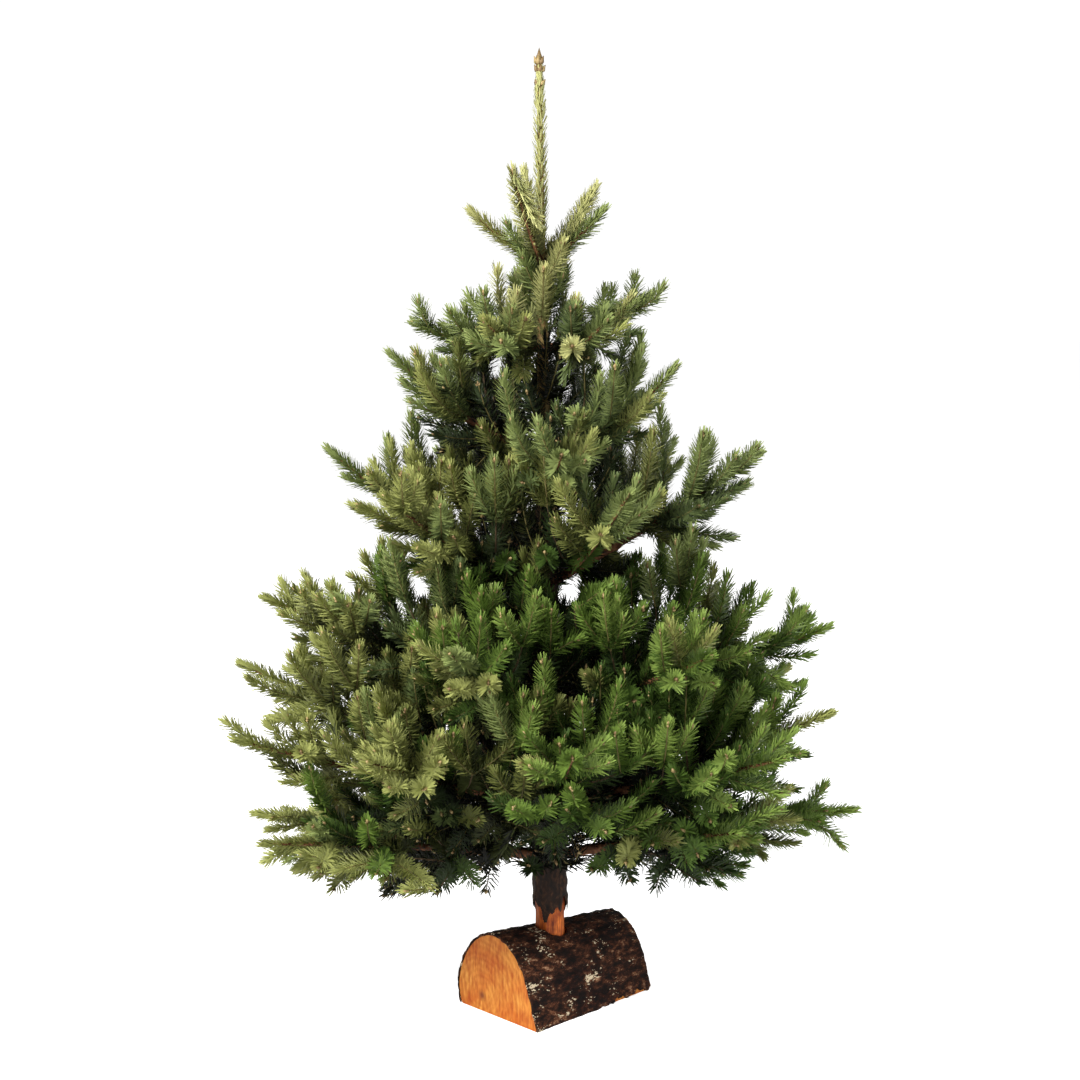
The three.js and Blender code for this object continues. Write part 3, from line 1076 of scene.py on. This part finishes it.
def limb_along(bough):
    """The pattern's vertices, laid along a bough from inside the stem to its tip."""
    share = pattern_points[:, 2] / LIMB_LENGTH + 0.5
    points, heading = along(bough, np.clip(share, 0, 1)[:, None])
    side, over = across(heading)
    years = YEARS[bough["whorl"]]
    beat = (share * years + 0.5) % 1 - 0.5
    scar = 1 + 0.22 * np.exp(-(beat / 0.045) ** 2)
    radius = (0.0011 + (bough["radius"] - 0.0011) * np.clip(1 - share, 0, 1) ** 0.8) * scar
    return points + (pattern_points[:, :1] * side + pattern_points[:, 1:2] * over) * radius[:, None]


limb_points = np.concatenate([limb_along(bough) for bough in boughs])
limb_faces = [
    tuple(corner + number * len(pattern_points) for corner in face)
    for number in range(len(boughs)) for face in pattern_faces
]
limb_mesh = bpy.data.meshes.new("boughs")
limb_mesh.from_pydata(limb_points.tolist(), [], limb_faces)
limb_mesh.materials.append(limb_bark_material)
limbs = bpy.data.objects.new("boughs", limb_mesh)
bpy.context.scene.collection.objects.link(limbs)
edit_all(limbs, bpy.ops.mesh.normals_make_consistent, inside=False)
bpy.ops.object.shade_smooth()
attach(limbs, "root")
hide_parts(*(name for name in NODES if name.startswith("limb_")))
bpy.data.objects.remove(limb_pattern)
print("boughs:", len(boughs), "faces:", len(limb_faces))

# %% [markdown]
# ## The stem
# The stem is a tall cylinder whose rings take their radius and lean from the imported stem, and
# two relief textures raise its bark. Low down, the bark has been cut away to fit the log: it
# ends in ragged tongues over whittled wood.

# %% Bark of the stem
BARK_FOOT = 0.128
STEM_SIDES, STEM_CUTS = 48, (70, 2)


def add_tube(name, sides, cuts, low, high, fill="TRIFAN"):
    """A tube of unit radius between two heights, with rings, left in object mode."""
    bpy.ops.object.select_all(action="DESELECT")
    bpy.ops.mesh.primitive_cylinder_add(vertices=sides, radius=1, depth=high - low,
                                        end_fill_type=fill, location=(0, 0, (low + high) / 2))
    tube = bpy.context.object
    tube.name = name
    bpy.ops.object.transform_apply(location=True, rotation=True, scale=True)
    cut_long_edges(tube, *cuts)
    return tube


def fit_to_stem(tube, shares):
    """Gives a tube the stem's lean and radius, times a share for each of its points."""
    points = vertices_of(tube)
    radius = stem_radius(points[:, 2]) * shares(points)
    points[:, :2] = stem_axis(points[:, 2])[:, :2] + points[:, :2] * radius[:, None]
    move_vertices(tube, points)


stem = add_tube("stem_bark", STEM_SIDES, STEM_CUTS, BARK_FOOT, STEM_TOP - 0.012)
fit_to_stem(stem, lambda points: 1 - 0.45 * ease(points[:, 2], STEM_TOP - 0.04, STEM_TOP - 0.02))

rough = stem.vertex_groups.new(name="rough")
for vertex in stem.data.vertices:
    rough.add([vertex.index], float(0.12 + 0.88 * (1 - ease(vertex.co.z, 0.25, 1.05))), "REPLACE")
displace(stem, relief_texture("stem_plates", "VORONOI", 0.011, distance_metric="DISTANCE"),
         0.0032, 0.4, "rough")
displace(stem, relief_texture("stem_grain", "CLOUDS", 0.006, noise_depth=3), 0.0026, 0.5, "rough")
print("stem:", len(stem.data.polygons), "faces")

# %% Ragged lower edge
def tongue_height(azimuth):
    """How low the bark reaches on each side of the foot."""
    wave = (0.5 * np.sin(3 * azimuth + 0.6) + 0.3 * np.sin(7 * azimuth + 2.2)
            + 0.2 * np.sin(13 * azimuth + 1.1))
    return 0.147 - 0.024 * wave


def delete_faces(obj, unwanted):
    """Deletes the faces whose middles pass a test."""
    edit_chosen(obj, "FACE", lambda face: unwanted(face.center), bpy.ops.mesh.delete, type="FACE")


def refine_faces(obj, wanted, cuts):
    """Divides the faces whose middles pass a test."""
    edit_chosen(obj, "FACE", lambda face: wanted(face.center), bpy.ops.mesh.subdivide,
                number_cuts=cuts)


refine_faces(stem, lambda middle: middle.z < 0.185, 3)
delete_faces(stem, lambda middle: middle.z < tongue_height(math.atan2(middle.y, middle.x)))
bpy.ops.object.shade_smooth()

# %% Stem materials
stem_bark = Pattern("stem_bark", 0.8)
stem_place = stem_bark.mapped((1, 1, 0.5))
stem_grain = stem_bark.noise(stem_place, 170, detail=6)
stem_blotch = stem_bark.noise(stem_place, 24, detail=4)
stem_height = stem_bark.add("ShaderNodeSeparateXYZ", {0: stem_bark.place}).outputs["Z"]
old_bark = stem_bark.ramp(stem_grain, [
    (0.34, 16, 8, 4), (0.52, 48, 28, 16), (0.72, 96, 66, 42),
])
young_bark = stem_bark.ramp(stem_grain, [
    (0.3, 104, 86, 48), (0.55, 146, 128, 78), (0.75, 172, 154, 104),
])
stem_colour = stem_bark.mix(stem_bark.rise(stem_height, 0.7, 0.96), old_bark, young_bark)
stem_colour = stem_bark.toned(stem_colour, stem_blotch,
                              [(0.35, 140, 120, 104), (0.62, 255, 250, 244)], 0.85)
stem.data.materials.append(stem_bark.finish(stem_colour, stem_grain, 0.0015))
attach(stem, "root")
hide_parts("trunk")

# %% Whittled foot
FOOT_TOP = 0.215

def whittled(points):
    """The share of the stem's radius that the knife has left, in long facets."""
    x, y, z = points.T
    return 0.9 + 0.045 * np.sin(40 * z + 5 * np.arctan2(y, x)) - 0.05 * ease(z, 0.18, FOOT_TOP)


foot = add_tube("stem_foot", 11, (14,), STEM_FOOT, FOOT_TOP)
fit_to_stem(foot, whittled)
apply_modifier(foot, "BEVEL", width=0.0008, segments=2, limit_method="ANGLE", angle_limit=0.35)

foot_wood = Pattern("foot_wood", 0.6)
foot_place = foot_wood.mapped((1, 1, 0.08))
foot_grain = foot_wood.noise(foot_place, 420, detail=4, distortion=0.4)
foot_stain = foot_wood.noise(foot_wood.mapped(), 46, detail=3)
foot_colour = foot_wood.ramp(foot_grain, [
    (0.32, 120, 50, 12), (0.5, 190, 92, 26), (0.7, 232, 132, 48),
])
foot_colour = foot_wood.toned(foot_colour, foot_stain,
                              [(0.38, 150, 96, 60), (0.6, 255, 255, 255)], 0.8)
foot.data.materials.append(foot_wood.finish(foot_colour, foot_grain, 0.0006))
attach(foot, "root")
print("foot:", len(foot.data.polygons), "faces")

# %% [markdown]
# ## The half log
# The log is a sawn length of trunk, cut off flat below. Its wood is one solid, cut by a plane.
# Its bark is a shell round that, with ridges and flakes, and its rim shows round the ends.

# %% Measure the log
log_points = vertices_of(NODES["log_stand"])
sole = np.unique(log_points[log_points[:, 2] < 0.001].round(4), axis=0)[:, :2]
sole_middle = sole.mean(0)
_, spread = np.linalg.eigh(np.cov((sole - sole_middle).T))
log_way = spread[:, 1] * np.sign(spread[0, 1])
log_across = np.array([-log_way[1], log_way[0]])
log_turn = math.atan2(log_way[1], log_way[0])
log_reach = (log_points[:, :2] - sole_middle) @ log_way
LOG_LENGTH = float(log_reach.max() - log_reach.min())
LOG_HEIGHT = float(log_points[log_reach > log_reach.max() - 0.0005, 2].max())
LOG_SWELL = float(log_points[:, 2].max()) / LOG_HEIGHT  # the front end's size to the back end's
HEART = 0.33 * LOG_HEIGHT  # the height from which the outline's radius is measured
log_middle = Vector((*sole_middle, HEART))

end_face = np.abs(log_reach - log_reach.max()) < 0.0005
outline_across = (log_points[end_face, :2] - sole_middle) @ log_across
outline_up = log_points[end_face, 2] - HEART
outline_angle = np.arctan2(outline_up, outline_across)
outline_order = outline_angle.argsort()
outline_radius = np.hypot(outline_up, outline_across)
print("log:", round(LOG_LENGTH, 4), "long,", round(LOG_HEIGHT, 4), "high, turned",
      round(math.degrees(log_turn), 1), "outline points", end_face.sum())


def log_radius(angle):
    """The radius of the log's outline, by the angle from level, all round."""
    return np.interp(angle, outline_angle[outline_order], outline_radius[outline_order],
                     period=2 * math.pi)


# %% Wood of the log
BARK_DEPTH = 0.0052


def log_cylinder(name, sides, inset, length, cuts, fill):
    """An upright cylinder with the log's outline. Its -X side is to become the log's top."""
    tube = add_tube(name, sides, cuts, -length / 2, length / 2, fill)
    points = vertices_of(tube)
    radius = log_radius(np.arctan2(-points[:, 0], points[:, 1])) - inset
    points[:, :2] *= radius[:, None]
    move_vertices(tube, points)
    return tube


def lay_down(obj):
    """Turns an upright cylinder onto the log's axis, and swells it towards its front end."""
    select_only(obj)
    obj.rotation_euler = (0, math.pi / 2, 0)
    bpy.ops.object.transform_apply(location=True, rotation=True, scale=True)
    obj.rotation_euler = (0, 0, log_turn)
    obj.location = log_middle
    bpy.ops.object.transform_apply(location=True, rotation=True, scale=True)
    points = vertices_of(obj)
    off = points[:, :2] - sole_middle
    size = np.interp(off @ log_way, (-LOG_LENGTH / 2, LOG_LENGTH / 2), (LOG_SWELL, 1))
    points[:, :2] += ((size - 1) * (off @ log_across))[:, None] * log_across
    points[:, 2] *= size
    move_vertices(obj, points)


def saw_sole(obj, height, fill):
    edit_all(obj, bpy.ops.mesh.bisect, plane_co=(0, 0, height), plane_no=(0, 0, 1),
             clear_inner=True, use_fill=fill)


wood = log_cylinder("log_wood", 120, BARK_DEPTH, LOG_LENGTH - 0.001, (3,), "NGON")
lay_down(wood)
saw_sole(wood, 0.0, True)
drill = add_tube("drill", 48, (), STEM_FOOT - 0.0005, LOG_HEIGHT + 0.05)
points = vertices_of(drill)
points[:, :2] *= stem_radius(0.1) + 0.0004
move_vertices(drill, points)
apply_modifier(wood, "BOOLEAN", object=drill, operation="DIFFERENCE", solver="EXACT")
apply_modifier(wood, "BEVEL", width=0.0009, segments=2, limit_method="ANGLE", angle_limit=0.9)

# %% Bark of the log
BARK_CUTS = (60, 1)
bark = log_cylinder("log_bark", 210, 0.0008, LOG_LENGTH, BARK_CUTS, "NOTHING")
bark_plates = relief_texture("log_plates", "VORONOI", 0.020, weight_1=-1, weight_2=1)
bark_flakes = relief_texture("log_flakes", "VORONOI", 0.0075)
bark_grain_relief = relief_texture("log_grain", "CLOUDS", 0.006, noise_depth=4)


def stretch_along(obj, factor):
    points = vertices_of(obj)
    points[:, 2] *= factor
    move_vertices(obj, points)


stretch_along(bark, 0.45)
displace(bark, bark_plates, 0.0046, 0.3)
displace(bark, bark_flakes, -0.0020, 0.35)
displace(bark, bark_grain_relief, 0.0026)
stretch_along(bark, 1 / 0.45)
lay_down(bark)
saw_sole(bark, 0.0004, False)


def peeled_height(reach):
    """How high the bark has come off the front flank's lower edge, towards the back end."""
    wave = 0.5 + 0.3 * math.sin(150 * reach) + 0.2 * math.sin(410 * reach + 1)
    return 0.009 * wave * ease(reach, -0.01, 0.08)


def peeled(middle):
    off = np.array(middle[:2]) - sole_middle
    return off @ log_across < 0 and middle.z < peeled_height(off @ log_way)


refine_faces(bark, lambda middle: middle.z < 0.012, 1)
delete_faces(bark, peeled)
apply_modifier(bark, "SOLIDIFY", thickness=BARK_DEPTH * 0.6, offset=-1, use_rim=True)
select_only(bark)
bpy.ops.object.shade_smooth_by_angle(angle=math.radians(50))
apply_modifier(bark, "BOOLEAN", object=drill, operation="DIFFERENCE", solver="EXACT")
bpy.data.objects.remove(drill)
points = vertices_of(bark)
points[:, 2] = np.maximum(points[:, 2], 0)
move_vertices(bark, points)
print("log bark:", len(bark.data.polygons), "faces")

# %% Log materials
log_bark = Pattern("log_bark", 0.85, 0.2)
bark_place = log_bark.mapped((0.5, 1, 1), log_turn, tuple(log_middle))
bark_grain = log_bark.noise(bark_place, 105, detail=9, rough=0.78)
bark_patch = log_bark.noise(bark_place, 30, detail=4)
bark_speck = log_bark.noise(bark_place, 330, detail=2)
bark_clump = log_bark.noise(bark_place, 52, detail=1)
bark_colour = log_bark.ramp(bark_grain, [
    (0.40, 14, 6, 3), (0.49, 44, 24, 14), (0.57, 94, 58, 38), (0.66, 188, 160, 132),
])
bark_colour = log_bark.toned(bark_colour, bark_patch, [(0.4, 130, 98, 80), (0.62, 255, 240, 228)])
bark_both = log_bark.add("ShaderNodeMath", {0: bark_speck, 1: bark_clump}, operation="ADD").outputs[0]
bark_colour = log_bark.mix(log_bark.rise(bark_both, 1.23, 1.27), bark_colour, srgb(206, 190, 160))
bark.data.materials.append(log_bark.finish(bark_colour, bark_grain, 0.003))

log_wood = Pattern("log_wood", 0.62, 0.3)
pith = log_middle + 0.5 * LOG_LENGTH * Vector((-log_way[0], -log_way[1], 0))
pith += Vector((*(0.036 * log_across), -0.012))
wood_place = log_wood.mapped((0.25, 1, 1), log_turn, tuple(pith))
wood_rings = log_wood.add("ShaderNodeTexWave", {"Vector": wood_place, "Scale": 34, "Distortion": 5.0,
                                                "Detail": 3, "Detail Scale": 1.6},
                          wave_type="RINGS", rings_direction="X").outputs["Fac"]
wood_fibre = log_wood.noise(log_wood.mapped((1, 1, 0.25), log_turn, tuple(pith)), 190, detail=4)
wood_warm = log_wood.noise(wood_place, 22, detail=3)
wood_far = log_wood.add("ShaderNodeVectorMath", {0: wood_place}, operation="LENGTH").outputs["Value"]
wood_colour = log_wood.ramp(wood_rings, [(0.1, 200, 134, 54), (0.9, 210, 146, 66)])
wood_colour = log_wood.toned(wood_colour, wood_fibre,
                             [(0.34, 214, 176, 132), (0.6, 255, 255, 255)])
wood_colour = log_wood.toned(wood_colour, wood_warm,
                             [(0.36, 232, 180, 116), (0.62, 255, 250, 240)], 0.9)
wood_colour = log_wood.mix(log_wood.rise(wood_far, 0.010, 0.002), wood_colour, srgb(120, 58, 20))
wood.data.materials.append(log_wood.finish(wood_colour, wood_fibre, 0.0008))
for piece in (bark, wood):
    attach(piece, "root")
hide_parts("log_stand")
